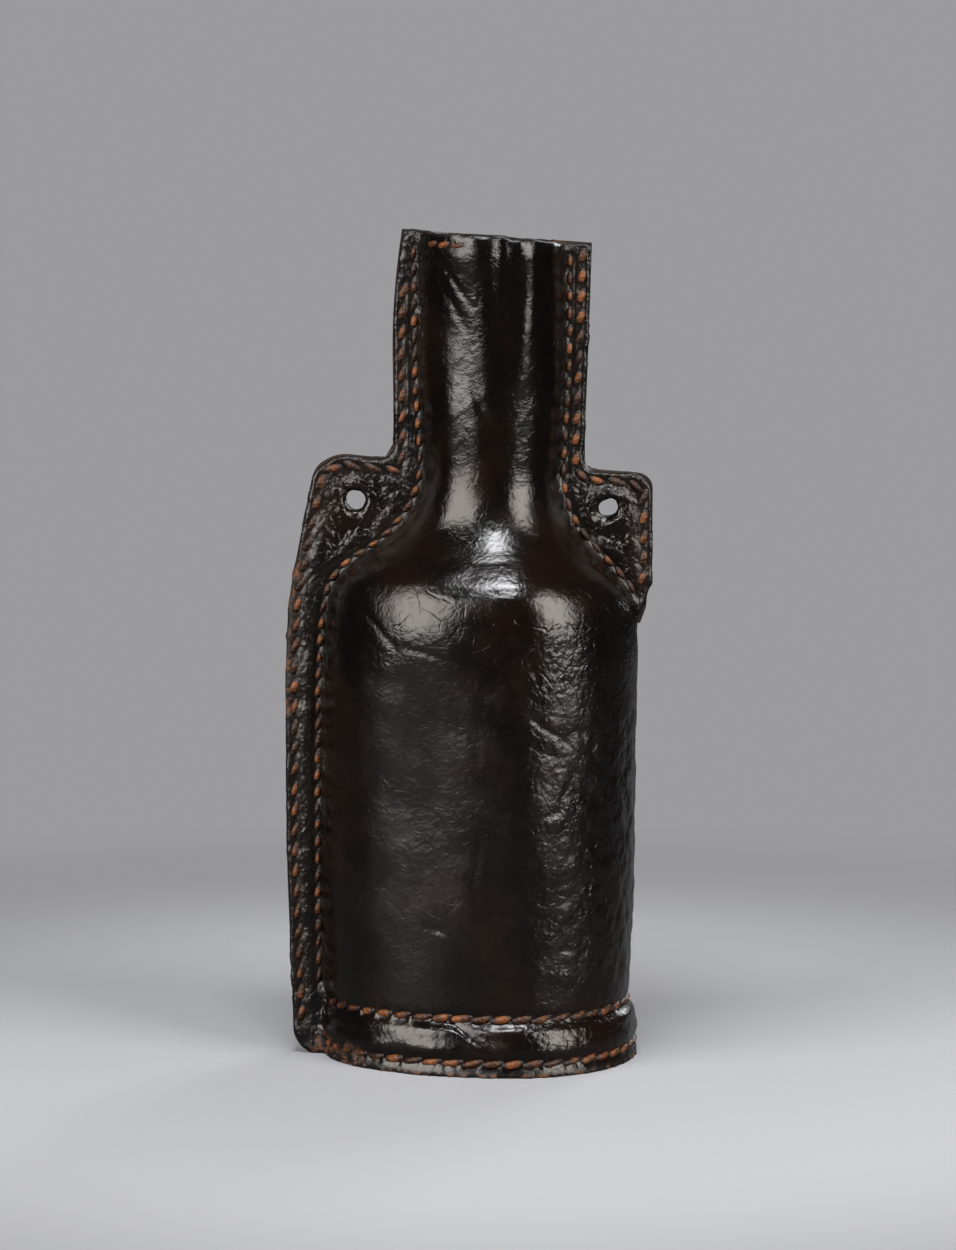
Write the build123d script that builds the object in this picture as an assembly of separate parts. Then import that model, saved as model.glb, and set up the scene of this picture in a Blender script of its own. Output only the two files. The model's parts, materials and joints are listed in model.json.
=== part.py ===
from build123d import *
import math
import os

# A moulded leather bottle, sewn by hand. One hide is folded round the right side. Its front and back leaves meet in
# a flat seam flange down the left side and in a shorter one beside the neck on the right, each with a lug and a cord
# hole. Two welt strips lie between the leaves, and a dished base is let into the foot behind a third welt. Waxed
# thread holds it all, and pitch coats the inside.
# Millimetres. +Z is up, the front faces -Y, and the origin is on the floor under the middle of the whole bottle.

# Leather, pitch and thread
hide_wall = 3.0
welt_wall = 2.6
foot_welt_wall = 2.0
pan_wall = 3.0
coat_wall = 0.8
layer_gap = 0.05
thread_radius = 1.1
thread_tip = 0.5
leg_radius = 0.75
awl_gap = 0.05
stitch_gap = 0.9
outer_pitch = 6.0
inner_pitch = 5.0
foot_pitch = 6.0

# Body, shoulder and neck. The depths are from the middle to the front, and the sides from the middle to the side.
bottle_height = 243.0
body_left = 42.9
body_right = 48.8
body_depth = 39.2
body_peak = 13.0
foot_height = 22.0
shoulder_z = 124.0
shoulder_rise = 49.0
neck_x = 6.7
neck_radius = 19.4
neck_swell = 1.8

# Mouth
mouth_radius = 18.0
mouth_depth = 26.0
mouth_ledge = 0.4
mouth_drop = 4.2
mouth_rows = 3
mouth_row_inset = 3.4
mouth_row_start = 211.0

# Seam flanges and lugs
side_seam_left = 53.8
neck_seam_left = 9.6
neck_seam_right = 9.0
left_lug_top = 177.3
right_lug_top = 172.8
right_lug_reach = 53.8
right_seam_foot = 127.7
outer_row_inset = 2.7
inner_row_gap = 2.2
left_hole_x = -33.2
left_hole_z = 163.8
left_hole_radius = 3.1
right_hole_x = 40.9
right_hole_z = 161.7
right_hole_radius = 2.9
rim_width = 2.4
rim_rise = 0.8

# Foot
foot_lower_row = 4.0
foot_upper_row = 16.5
row_land = 1.3

overrun = 2.0
arc_steps = 40

# Angle from which a corner stays crisp, shares of a run that a rounded corner takes up, and of a quarter's radii
# that its curve's handles reach
crisp_bend = 60.0
soft_bend_share = 0.45
crisp_bend_share = 0.22
quarter_handle_share = 0.5523

# Foot between the rows: height from row to row, then left side, right side and depth against the body's
foot_edge_shares = (1.010, 1.029, 1.079)
lower_row_shares = (1.005, 1.012, 1.056)
band_shares = ((0.25, 1.006, 1.017, 1.066), (0.50, 1.005, 1.012, 1.056), (0.75, 1.000, 0.998, 1.032))
upper_row_shares = (0.992, 0.967, 0.982)
foot_top_shares = (0.994, 0.975, 0.987)

# Body: height from the foot to the shoulder, then left side, right side and depth against the body's
body_shares = ((0.22, 1.000, 0.988, 0.995), (0.55, 1.000, 1.000, 1.000), (0.85, 0.992, 1.006, 1.000))

# Shoulder: height from its start to the neck, then how far the left side, right side and depth still are from the
# neck's, against the body's
shoulder_shares = (
    (0.000, 0.965, 1.040, 1.000),
    (0.150, 0.945, 1.010, 0.970),
    (0.270, 0.910, 0.890, 0.900),
    (0.360, 0.835, 0.730, 0.780),
    (0.430, 0.700, 0.580, 0.640),
    (0.490, 0.550, 0.460, 0.505),
    (0.560, 0.390, 0.330, 0.360),
    (0.645, 0.255, 0.190, 0.225),
    (0.740, 0.140, 0.085, 0.115),
    (0.850, 0.050, 0.020, 0.040),
    (1.000, 0.000, 0.000, 0.000),
)

# Neck: height from the shoulder to the mouth's bore, then the share of the swell reached there
neck_shares = ((0.30, 0.35), (0.62, 0.85), (1.00, 1.00))

# Edges of the flanges. Beside the neck: height from the lug to the mouth, and width against the neck's seam. At the
# lugs: distance out from the neck's seam, and height from the shoulder. Down the left side: height up to the
# shoulder, and reach against the side seam's.
left_neck_edge_shares = ((0.80, 0.885), (0.55, 1.000), (0.14, 0.960))
left_mouth_edge_share = 0.667
left_lug_shares = ((0.000, 0.968), (0.510, 1.000), (0.727, 0.930), (0.857, 0.548), (0.971, 0.200))
left_side_shares = ((0.927, 1.000), (0.468, 1.000), (0.190, 0.974), (0.042, 0.966), (0.017, 0.932), (0.000, 0.872))
right_neck_edge_shares = ((0.55, 0.990), (0.17, 0.870))
right_mouth_edge_share = 1.100
right_lug_shares = ((0.000, 1.000), (1.000, 0.965), (0.995, 0.260), (0.920, 0.190), (0.915, 0.110), (0.820, 0.000))

# Where the rows of stitches begin and end, against the bottle's height
left_outer_row_shares = (0.034, 0.934)
left_inner_row_shares = (0.082, 0.978)
right_outer_row_shares = (0.566, 0.976)
right_inner_row_shares = (0.558, 0.968)

seam_half = hide_wall + welt_wall
bore_foot = bottle_height - mouth_depth - mouth_drop
neck_foot = shoulder_z + shoulder_rise


class Level:
    """One level of the hide: how far its left, right and front reach, and where it is deepest."""

    def __init__(self, z, left, right, depth, peak):
        self.z = z
        self.left = left
        self.right = right
        self.depth = depth
        self.peak = peak

    def wire(self):
        right = (self.right, 0)
        left = (self.left, 0)
        front = (self.peak, -self.depth)
        back = (self.peak, self.depth)
        edges = []
        for start, end in ((right, front), (front, left), (left, back), (back, right)):
            corner = (end[0], start[1]) if start[0] == self.peak else (start[0], end[1])
            spots = [start, self.towards(start, corner), self.towards(end, corner), end]
            edges.append(Bezier(*[(x, y, self.z) for x, y in spots]))
        return Wire(edges)

    def towards(self, spot, corner):
        return [a + (b - a) * quarter_handle_share for a, b in zip(spot, corner)]

    def side_at(self, y, side):
        """Where the left (-1) or right (1) side is at a distance y from the middle."""
        reach = self.left if side < 0 else self.right
        return self.peak + (reach - self.peak) * math.sqrt(1 - (y / self.depth) ** 2)


def body_level(z, shares):
    left, right, depth = shares
    return Level(z, -body_left * left, body_right * right, body_depth * depth, body_peak)


def foot_levels():
    band = foot_upper_row - foot_lower_row - 2 * row_land
    rows = [body_level(0, foot_edge_shares)]
    for z in (foot_lower_row - row_land, foot_lower_row + row_land):
        rows.append(body_level(z, lower_row_shares))
    for share, *sides in band_shares:
        rows.append(body_level(foot_lower_row + row_land + band * share, sides))
    for z in (foot_upper_row - row_land, foot_upper_row + row_land):
        rows.append(body_level(z, upper_row_shares))
    rows.append(body_level(foot_height, foot_top_shares))
    return rows


def upper_levels():
    """The hide from the foot to the foot of the mouth's bore."""
    levels = [body_level(foot_height, foot_top_shares)]
    for share, *sides in body_shares:
        levels.append(body_level(foot_height + (shoulder_z - foot_height) * share, sides))
    neck_left = neck_x - neck_radius
    neck_right = neck_x + neck_radius
    for share, left, right, depth in shoulder_shares:
        levels.append(Level(
            shoulder_z + shoulder_rise * share,
            neck_left + (-body_left - neck_left) * left,
            neck_right + (body_right - neck_right) * right,
            neck_radius + (body_depth - neck_radius) * depth,
            neck_x + (body_peak - neck_x) * depth,
        ))
    for share, swell in neck_shares:
        radius = neck_radius + neck_swell * swell
        levels.append(Level(neck_foot + (bore_foot - neck_foot) * share, neck_x - radius, neck_x + radius,
                            radius, neck_x))
    return levels


def drawn_in(levels, wall):
    """The same levels one wall further in, measured square to the hide's slope."""
    result = []
    for index, level in enumerate(levels):
        low = levels[max(index - 1, 0)]
        high = levels[min(index + 1, len(levels) - 1)]
        rise = high.z - low.z
        left = wall * math.hypot(1, (high.left - low.left) / rise)
        right = wall * math.hypot(1, (high.right - low.right) / rise)
        depth = wall * math.hypot(1, (high.depth - low.depth) / rise)
        result.append(Level(level.z, level.left + left, level.right - right, level.depth - depth, level.peak))
    return result


def at_height(level, z):
    return Level(z, level.left, level.right, level.depth, level.peak)


def skin(levels):
    return Solid.make_loft([level.wire() for level in levels], ruled=True)


def foot_block(inset, low=0.0, high=foot_height):
    """The foot's inside at a distance in from the hide's face, with its ends moved to low and high."""
    rows = foot_levels()
    rows = [Level(r.z, r.left + inset, r.right - inset, r.depth - inset, r.peak) for r in rows]
    rows = [r for r in rows if low < r.z < high]
    first = Level(low, -body_left * foot_edge_shares[0] + inset, body_right * foot_edge_shares[1] - inset,
                  body_depth * foot_edge_shares[2] - inset, body_peak)
    last = Level(high, -body_left * foot_top_shares[0] + inset, body_right * foot_top_shares[1] - inset,
                 body_depth * foot_top_shares[2] - inset, body_peak)
    return skin([first] + rows + [last])


# Outlines of the flanges, seen from the front, as (x, z) points from the mouth down
def left_edge():
    seam = -(neck_radius - neck_x) - neck_seam_left
    top = bottle_height + overrun
    points = [(neck_x - neck_radius - neck_seam_left * left_mouth_edge_share, top)]
    for up, across in left_neck_edge_shares:
        points.append((neck_x - neck_radius - neck_seam_left * across,
                       left_lug_top + (bottle_height - left_lug_top) * up))
    for out, up in left_lug_shares:
        points.append((seam + (-side_seam_left - seam) * out, shoulder_z + (left_lug_top - shoulder_z) * up))
    for up, reach in left_side_shares:
        points.append((-side_seam_left * reach, shoulder_z * up))
    return points


def right_edge():
    side = neck_x + neck_radius
    seam = side + neck_seam_right * right_neck_edge_shares[-1][1]
    points = [(side + neck_seam_right * right_mouth_edge_share, bottle_height + overrun)]
    for up, across in right_neck_edge_shares:
        points.append((side + neck_seam_right * across, right_lug_top + (bottle_height - right_lug_top) * up))
    for out, up in right_lug_shares:
        points.append((seam + (right_lug_reach - seam) * out,
                       right_seam_foot + (right_lug_top - right_seam_foot) * up))
    return points


def rounded_edges(points):
    """Edges through the points in the XZ plane, with each corner rounded. A sharp corner keeps a tight round."""
    spots = [Vector(x, 0, z) for x, z in points]
    edges = []
    start = spots[0]
    for before, corner, after in zip(spots, spots[1:], spots[2:]):
        into = corner - before
        out = after - corner
        share = crisp_bend_share if into.get_angle(out) > crisp_bend else soft_bend_share
        room = min(into.length, out.length) * share
        enter = corner - into.normalized() * room
        leave = corner + out.normalized() * room
        edges.append(Line(start, enter))
        edges.append(Bezier(enter, corner, leave))
        start = leave
    edges.append(Line(start, spots[-1]))
    return edges


def flange_plate(half):
    """The whole outline of the leaves, down to the floor on the left and to the seam's foot on the right."""
    left = left_edge()
    right = right_edge()
    foot = [(neck_x, 0), (neck_x, right_seam_foot)]
    edges = rounded_edges(left) + rounded_edges(right)
    loop = [left[-1], foot[0], foot[1], right[-1]]
    for (x0, z0), (x1, z1) in zip(loop, loop[1:]):
        edges.append(Line((x0, 0, z0), (x1, 0, z1)))
    edges.append(Line((left[0][0], 0, left[0][1]), (right[0][0], 0, right[0][1])))
    face = Face(Wire(edges))
    return extrude(face, amount=half, dir=(0, 1, 0), both=True)


def moved_sideways(points, distance):
    """A path beside the given one: to its left by a positive distance, as it runs."""
    result = []
    for index, (x, z) in enumerate(points):
        x0, z0 = points[max(index - 1, 0)]
        x1, z1 = points[min(index + 1, len(points) - 1)]
        into = (Vector(x - x0, z - z0), Vector(x1 - x, z1 - z))
        runs = [run.normalized() for run in into if run.length > 0]
        normals = [Vector(-run.Y, run.X) for run in runs]
        middle = (normals[0] + normals[-1]).normalized()
        reach = distance / middle.dot(normals[0])
        result.append((x + middle.X * reach, z + middle.Y * reach))
    return result


def trimmed(points, high, low):
    """A path that runs down, begun at one height and ended at another."""
    points = list(points)
    while points[1][1] > high:
        points.pop(0)
    while points[-2][1] < low:
        points.pop()
    points[0] = at_z(points[0], points[1], high)
    points[-1] = at_z(points[-2], points[-1], low)
    return points


def at_z(start, end, z):
    share = (z - start[1]) / (end[1] - start[1])
    return (start[0] + (end[0] - start[0]) * share, z)


def evenly(points, pitch):
    """Points along a path, an even step apart and about a pitch."""
    spots = [Vector(*point) for point in points]
    runs = [(b - a).length for a, b in zip(spots, spots[1:])]
    count = round(sum(runs) / pitch)
    step = sum(runs) / count
    result = []
    for index in range(count + 1):
        left = step * index
        run = 0
        while run < len(runs) - 1 and left > runs[run]:
            left -= runs[run]
            run += 1
        result.append(spots[run] + (spots[run + 1] - spots[run]).normalized() * left)
    return result


# Rows of stitches: the places of their awl holes
def flange_row(path, shares, pitch):
    return evenly(trimmed(path, bottle_height * shares[1], bottle_height * shares[0]), pitch)


def bulge_edge(side):
    """Where the bulge of the body and neck leaves the flange's face, from the mouth down to the foot."""
    levels = upper_levels()
    levels = foot_levels()[:-1] + levels + [at_height(levels[-1], bottle_height)]
    return [(level.side_at(seam_half, side), level.z) for level in reversed(levels)]


def row_holes():
    left_root = moved_sideways(bulge_edge(-1), -inner_row_gap)
    right_root = moved_sideways(bulge_edge(1), inner_row_gap)
    left_rim = moved_sideways(left_edge(), outer_row_inset)
    right_rim = moved_sideways(right_edge(), -outer_row_inset)
    return {
        "left_outer_thread": flange_row(left_rim, left_outer_row_shares, outer_pitch),
        "left_inner_thread": flange_row(left_root, left_inner_row_shares, inner_pitch),
        "right_outer_thread": flange_row(right_rim, right_outer_row_shares, outer_pitch),
        "right_inner_thread": flange_row(right_root, right_inner_row_shares, inner_pitch),
    }


def section_points(level, low_y):
    """The hide's outline at one level, from the front of the left flange round the right side to its back."""
    quarter = [step / arc_steps for step in range(arc_steps + 1)]
    front = []
    for share in quarter:
        turn = share * math.pi / 2
        front.append((level.peak + (level.left - level.peak) * math.cos(turn), -level.depth * math.sin(turn)))
    for share in quarter[1:]:
        turn = share * math.pi / 2
        front.append((level.peak + (level.right - level.peak) * math.sin(turn), -level.depth * math.cos(turn)))
    front = [point for point in front if -point[1] > low_y or point[0] > level.peak]
    back = [(x, -y) for x, y in reversed(front[:-1])]
    return front + back


def foot_row(z):
    level = next(row for row in foot_levels() if row.z > z)
    points = section_points(level, seam_half + inner_row_gap)
    return [Vector(spot.X, spot.Y, z) for spot in evenly(points, foot_pitch)]


def mouth_row():
    """The few awl holes that run on along the mouth, on the front of the neck."""
    radius = neck_radius + neck_swell
    step = math.degrees(inner_pitch / radius)
    turns = [math.radians(mouth_row_start + step * index) for index in range(mouth_rows + 1)]
    z = bottle_height - mouth_row_inset
    places = [Vector(neck_x + radius * math.cos(t), radius * math.sin(t), z) for t in turns]
    drop = mouth_drop / (neck_seam_left + neck_seam_right + 2 * radius)
    return [spot - Vector(0, 0, (spot.X + neck_seam_left + radius - neck_x) * drop) for spot in places]


# Stitches
def bead(length):
    """Half a spindle on the XY plane, from the origin along X."""
    ends = [(0, 0, 0), (0, 0, thread_tip), (length / 2, 0, thread_radius), (length, 0, thread_tip), (length, 0, 0)]
    outline = Wire([
        Line(ends[0], ends[1]),
        ThreePointArc(ends[1], ends[2], ends[3]),
        Line(ends[3], ends[4]),
        Line(ends[4], ends[0]),
    ])
    half = revolve(Face(outline), axis=Axis((0, 0, 0), (1, 0, 0)), revolution_arc=90)
    return half + mirror(half, about=Plane.XZ)


def stitch(pitch, depth, back_pitch):
    """A stitch that spans one pitch along X, with its leg down through the leather at its start."""
    start = stitch_gap / 2 - leg_radius
    leg = Pos(0, 0, -depth / 2) * Cylinder(leg_radius, depth)
    front = Pos(start, 0, 0) * bead(pitch - stitch_gap) + leg
    if not back_pitch:
        return front
    back = Pos(start, 0, 0) * bead(back_pitch - stitch_gap)
    return front + Pos(0, 0, -depth) * mirror(back, about=Plane.XY)


class Row:
    """A row of stitches: its awl holes on the leather's face, each hole's way out of it, and the leather's depth."""

    def __init__(self, spots, outwards, depth, radius=None, through=True):
        self.pitch = (spots[1] - spots[0]).length
        self.rise = self.pitch ** 2 / (8 * radius) if radius else 0
        self.depth = depth + self.rise
        self.back_pitch = 0
        if through:
            self.back_pitch = self.pitch * (1 - depth / radius) if radius else self.pitch
        self.places = []
        for here, there in zip(spots, spots[1:]):
            normal = (outwards(here) + outwards(there)).normalized()
            self.places.append(Plane(origin=here + normal * self.rise, x_dir=there - here, z_dir=normal).location)

    def thread(self):
        one = stitch(self.pitch, self.depth, self.back_pitch)
        return Compound([one.moved(place) for place in self.places])

    def awl_holes(self):
        length = self.depth + overrun
        tool = Pos(0, 0, -self.depth / 2) * Cylinder(leg_radius + awl_gap, length)
        return [tool.moved(place) for place in self.places]


def front_of(_):
    return Vector(0, -1, 0)


def round_normal(level):
    def normal(spot):
        reach = (level.left if spot.X < level.peak else level.right) - level.peak
        return Vector((spot.X - level.peak) / reach ** 2, spot.Y / level.depth ** 2, 0).normalized()
    return normal


def thread_rows():
    """Every row of stitches by the name of its thread."""
    rows = {}
    for name, holes in row_holes().items():
        spots = [Vector(spot.X, -seam_half, spot.Y) for spot in holes]
        rows[name] = Row(spots, front_of, 2 * seam_half)
    stack = hide_wall + foot_welt_wall + pan_wall + 2 * layer_gap
    for name, z in (("foot_upper_thread", foot_upper_row), ("foot_lower_thread", foot_lower_row)):
        level = next(row for row in foot_levels() if row.z > z)
        rows[name] = Row(foot_row(z), round_normal(level), stack, level.depth)
    radius = neck_radius + neck_swell
    neck = Level(0, neck_x - radius, neck_x + radius, radius, neck_x)
    rows["mouth_thread"] = Row(mouth_row(), round_normal(neck), hide_wall / 2, radius, through=False)
    return rows


# The leather pieces
def mouth_cut():
    """What the slanted cut of the mouth takes away."""
    span = 2 * side_seam_left
    left = neck_x - neck_radius - neck_seam_left
    right = neck_x + neck_radius + neck_seam_right
    slope = math.degrees(math.atan2(mouth_drop, right - left))
    block = Box(2 * span, span, span, align=(Align.CENTER, Align.CENTER, Align.MIN))
    return Pos(left, 0, bottle_height) * Rot(0, slope, 0) * block


def cord_holes():
    length = 2 * (seam_half + rim_rise + overrun)
    places = ((left_hole_x, left_hole_z, left_hole_radius), (right_hole_x, right_hole_z, right_hole_radius))
    return [Pos(x, 0, z) * Rot(90, 0, 0) * Cylinder(radius, length) for x, z, radius in places]


def hole_rims():
    places = ((left_hole_x, left_hole_z, left_hole_radius), (right_hole_x, right_hole_z, right_hole_radius))
    rims = []
    for x, z, radius in places:
        for way in (-1, 1):
            cone = Cone(radius + rim_width, radius + rim_width / 2, rim_rise,
                        align=(Align.CENTER, Align.CENTER, Align.MIN))
            rims.append(Pos(x, way * seam_half, z) * Rot(-90 * way, 0, 0) * cone)
    return rims


def bore():
    height = bottle_height + overrun - bore_foot
    return Pos(neck_x, 0, bore_foot) * Cylinder(mouth_radius, height, align=(Align.CENTER, Align.CENTER, Align.MIN))


def cavity():
    levels = drawn_in(upper_levels(), hide_wall)
    reach = mouth_radius - mouth_ledge
    levels[-1] = Level(bore_foot, neck_x - reach, neck_x + reach, reach, neck_x)
    return skin(levels)


def coat():
    levels = drawn_in(upper_levels(), hide_wall + layer_gap)
    inner = drawn_in(upper_levels(), hide_wall + layer_gap + coat_wall)
    reach = mouth_radius - mouth_ledge - layer_gap
    levels[0] = at_height(levels[0], foot_height + layer_gap)
    levels[-1] = Level(bore_foot, neck_x - reach, neck_x + reach, reach, neck_x)
    reach -= coat_wall
    inner[0] = at_height(inner[0], foot_height + layer_gap + coat_wall)
    inner[-1] = Level(bore_foot + overrun, neck_x - reach, neck_x + reach, reach, neck_x)
    return skin(levels) - skin(inner)


def hide(plate, inside, holes):
    outer_levels = upper_levels()
    outer_levels.append(at_height(outer_levels[-1], bottle_height + overrun))
    body = skin(outer_levels) + skin(foot_levels()) + plate + hole_rims()
    slot = flange_plate(welt_wall)
    body = body - [inside, bore(), foot_block(hide_wall, -overrun), slot, mouth_cut()]
    return body - cord_holes() - holes


def welt(front, left, inside, holes):
    """Half the thickness of a seam's filling, on the left or right of the neck."""
    strip = flange_plate(welt_wall)
    span = 2 * side_seam_left + overrun
    side = Pos(neck_x, 0, 0) * Box(span, span, 2 * bottle_height,
                                   align=(Align.MAX if left else Align.MIN, Align.MAX if front else Align.MIN,
                                          Align.CENTER))
    strip = strip & side
    strip = strip - [inside, bore(), foot_block(hide_wall - layer_gap, -overrun), mouth_cut()]
    return strip - cord_holes() - holes


def foot_welt(holes):
    ring = foot_block(hide_wall + layer_gap) - foot_block(hide_wall + foot_welt_wall, -overrun, foot_height + overrun)
    return ring - holes


def base_pan(holes):
    face = hide_wall + foot_welt_wall + layer_gap
    dish = foot_block(face) - foot_block(face + pan_wall, -overrun, foot_height - pan_wall)
    return dish - holes


def largest(shape):
    return max(shape.solids(), key=lambda solid: solid.volume)


def build():
    rows = thread_rows()
    nodes = {name: row.thread() for name, row in rows.items()}
    holes = {name: row.awl_holes() for name, row in rows.items()}
    seam_holes = {side: holes[side + "_outer_thread"] + holes[side + "_inner_thread"] for side in ("left", "right")}
    foot_holes = holes["foot_upper_thread"] + holes["foot_lower_thread"]
    every_hole = seam_holes["left"] + seam_holes["right"] + foot_holes + holes["mouth_thread"]
    inside = cavity()
    nodes["body_hide"] = hide(flange_plate(seam_half), inside, every_hole)
    for side in ("left", "right"):
        for face in ("front", "back"):
            strip = welt(face == "front", side == "left", inside, seam_holes[side])
            nodes[side + "_welt_" + face] = largest(strip)
    nodes["foot_welt"] = foot_welt(foot_holes)
    nodes["base_pan"] = base_pan(foot_holes)
    nodes["pitch_coat"] = coat()
    return nodes


os.makedirs("parts", exist_ok=True)
for node, shape in build().items():
    export_step(shape, "parts/" + node + ".step")
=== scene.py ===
import json
import math

import bmesh
import bpy
import numpy as np
from bpy.props import FloatProperty, FloatVectorProperty, IntProperty, PointerProperty
from mathutils import Matrix, Vector, noise
from mathutils.bvhtree import BVHTree
from mathutils.kdtree import KDTree


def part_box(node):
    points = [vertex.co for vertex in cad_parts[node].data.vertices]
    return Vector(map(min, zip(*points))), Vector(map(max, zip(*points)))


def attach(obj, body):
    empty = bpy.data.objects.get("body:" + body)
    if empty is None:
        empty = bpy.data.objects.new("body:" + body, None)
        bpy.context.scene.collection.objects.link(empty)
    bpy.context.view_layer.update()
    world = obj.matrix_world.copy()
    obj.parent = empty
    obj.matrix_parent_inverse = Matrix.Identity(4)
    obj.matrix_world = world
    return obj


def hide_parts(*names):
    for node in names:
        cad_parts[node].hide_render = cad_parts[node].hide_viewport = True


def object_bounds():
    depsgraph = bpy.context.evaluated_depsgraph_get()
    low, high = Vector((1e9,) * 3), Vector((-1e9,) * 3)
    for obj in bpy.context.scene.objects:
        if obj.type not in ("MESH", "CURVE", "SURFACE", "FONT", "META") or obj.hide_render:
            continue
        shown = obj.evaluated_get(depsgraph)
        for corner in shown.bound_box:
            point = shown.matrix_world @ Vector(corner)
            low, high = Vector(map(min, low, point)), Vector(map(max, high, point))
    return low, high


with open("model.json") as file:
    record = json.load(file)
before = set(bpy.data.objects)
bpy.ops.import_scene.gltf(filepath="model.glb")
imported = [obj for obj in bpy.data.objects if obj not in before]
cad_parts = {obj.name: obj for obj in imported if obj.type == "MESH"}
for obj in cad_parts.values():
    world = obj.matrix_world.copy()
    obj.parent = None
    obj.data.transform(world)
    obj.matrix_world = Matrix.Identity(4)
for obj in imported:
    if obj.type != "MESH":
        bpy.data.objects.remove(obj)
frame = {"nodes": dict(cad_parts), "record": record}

bl_info = {
    "name": "Sewn leather bottle",
    "version": (1, 0, 0),
    "blender": (4, 5, 0),
    "location": "View3D > Sidebar > Bottle",
    "description": "Dresses a moulded leather bottle with its leather, waxed stitches, pitch and studio",
    "category": "Object",
}

# Lengths in this file are in metres, as the frame's are. MM turns a millimetre into one.
MM = 0.001

cad_low, cad_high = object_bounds()
hide_low, hide_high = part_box("body_hide")
base_low, base_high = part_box("base_pan")
HIDE_WALL = 3.0 * MM
seam_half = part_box("left_welt_back")[1].y + HIDE_WALL
mounts = {mount["name"]: mount for mount in frame["record"]["mounts"]}
neck_x = mounts["mouth"]["pos_m"][0]
cord_holes = [mounts[name] for name in ("left_cord_hole", "right_cord_hole")]

LEATHER_NODES = ("left_welt_front", "left_welt_back", "right_welt_front", "right_welt_back", "foot_welt")
FLANGE_THREADS = ("left_outer_thread", "left_inner_thread", "right_outer_thread", "right_inner_thread")
FOOT_THREADS = ("foot_upper_thread", "foot_lower_thread")
MOUTH_THREAD = "mouth_thread"
BODY = "root"

# Corners of a solid closer than this are one corner.
MERGE = 0.001 * MM
# The height of a thread's bead over its foot, within which its corners belong to it.
BEAD_RISE = 1.15 * MM
# A stitch's nominal length, and how deep its ends go under its middle.
STITCH_LENGTH = 5.1 * MM
STITCH_SINK = 0.95 * MM
# Lengths of the worked stitches, as shares of the plain ones.
FLANGE_LENGTH_SHARE = 0.79
FOOT_LENGTH_SHARE = 1.1
# The share of the hidden corners that goes.
THINNING_SHARE = 0.94
# Weights of a hidden corner, between which the relief runs out.
HIDDEN_BAND = (0.2, 0.6)


class LeatherSettings(bpy.types.PropertyGroup):
    black: FloatVectorProperty(name="Black", description="Colour of the polished leather", subtype="COLOR",
                               size=3, min=0, max=1, default=(0.0024, 0.0017, 0.0013))
    brown: FloatVectorProperty(name="Brown", description="Warmer colour in the thin and rubbed patches",
                               subtype="COLOR", size=3, min=0, max=1, default=(0.0090, 0.0037, 0.0018))
    worn: FloatVectorProperty(name="Worn edge", description="Colour of bare leather at the worn edges",
                              subtype="COLOR", size=3, min=0, max=1, default=(0.105, 0.040, 0.016))
    voxel: FloatProperty(name="Mesh step", description="Step of the mesh that the hide is worked in",
                         default=0.97 * MM, min=0.5 * MM, max=3 * MM, unit="LENGTH", precision=5)
    groove: FloatProperty(name="Stitch groove", description="Depth that a row of stitches pulls in",
                          default=0.5 * MM, min=0, max=2 * MM, unit="LENGTH", precision=5)
    swell: FloatProperty(name="Hand swell", description="Height of the broad swells of the moulded body",
                         default=0.5 * MM, min=0, max=2 * MM, unit="LENGTH", precision=5)
    seed: IntProperty(name="Seed", description="Fixes the pattern of the leather's swells", default=7, min=0)


class ThreadSettings(bpy.types.PropertyGroup):
    wax: FloatVectorProperty(name="Thread", description="Colour of the waxed thread", subtype="COLOR",
                             size=3, min=0, max=1, default=(0.205, 0.063, 0.0145))
    # The darkened parts are grime and painted shade at the stitches' ends, sides and strand grooves.
    dirt_and_shade_colour: FloatVectorProperty(name="Dirt and shade", description="Colour of the thread's darkened parts",
                              subtype="COLOR", size=3, min=0, max=1, default=(0.014, 0.006, 0.0035))
    width: FloatProperty(name="Width", description="Width of a stitch", default=2.1 * MM, min=0.5 * MM,
                         max=6 * MM, unit="LENGTH", precision=5)
    height: FloatProperty(name="Height", description="Height of a stitch over the leather round its groove",
                          default=0.7 * MM, min=0, max=1.1 * MM, unit="LENGTH", precision=5)
    slant: FloatProperty(name="Slant", description="Turn of each stitch from the line of its row",
                         default=math.radians(17), subtype="ANGLE")
    seed: IntProperty(name="Seed", description="Fixes how the stitches differ", default=11, min=0)


class StageSettings(bpy.types.PropertyGroup):
    floor: FloatVectorProperty(name="Floor", description="Colour of the floor under the bottle",
                               subtype="COLOR", size=3, min=0, max=1, default=(0.42, 0.415, 0.425))
    backdrop: FloatVectorProperty(name="Backdrop", description="Colour that the floor runs out into",
                                  subtype="COLOR", size=3, min=0, max=1, default=(0.33, 0.325, 0.335))
    distance: FloatProperty(name="Camera distance", description="Way from the camera to the bottle's middle",
                            default=1.260, min=0.2, unit="LENGTH")
    height: FloatProperty(name="Camera height", description="Height of the camera over the floor",
                          default=0.260, min=0.0, unit="LENGTH")
    aim_x: FloatProperty(name="Aim across", description="Place across that the camera aims at",
                         default=0.0027, unit="LENGTH", precision=5)
    aim_z: FloatProperty(name="Aim height", description="Height that the camera aims at", default=0.1268,
                         unit="LENGTH", precision=5)
    view: FloatProperty(name="View angle", description="Upright angle of view", default=math.radians(16.5),
                        subtype="ANGLE")
    soft_box: FloatProperty(name="Soft boxes", description="Strength of the two large soft boxes, in watts",
                            default=16.0, min=0)
    top_box: FloatProperty(name="Top light", description="Strength of the small light overhead, in watts",
                           default=6.5, min=0)


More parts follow.
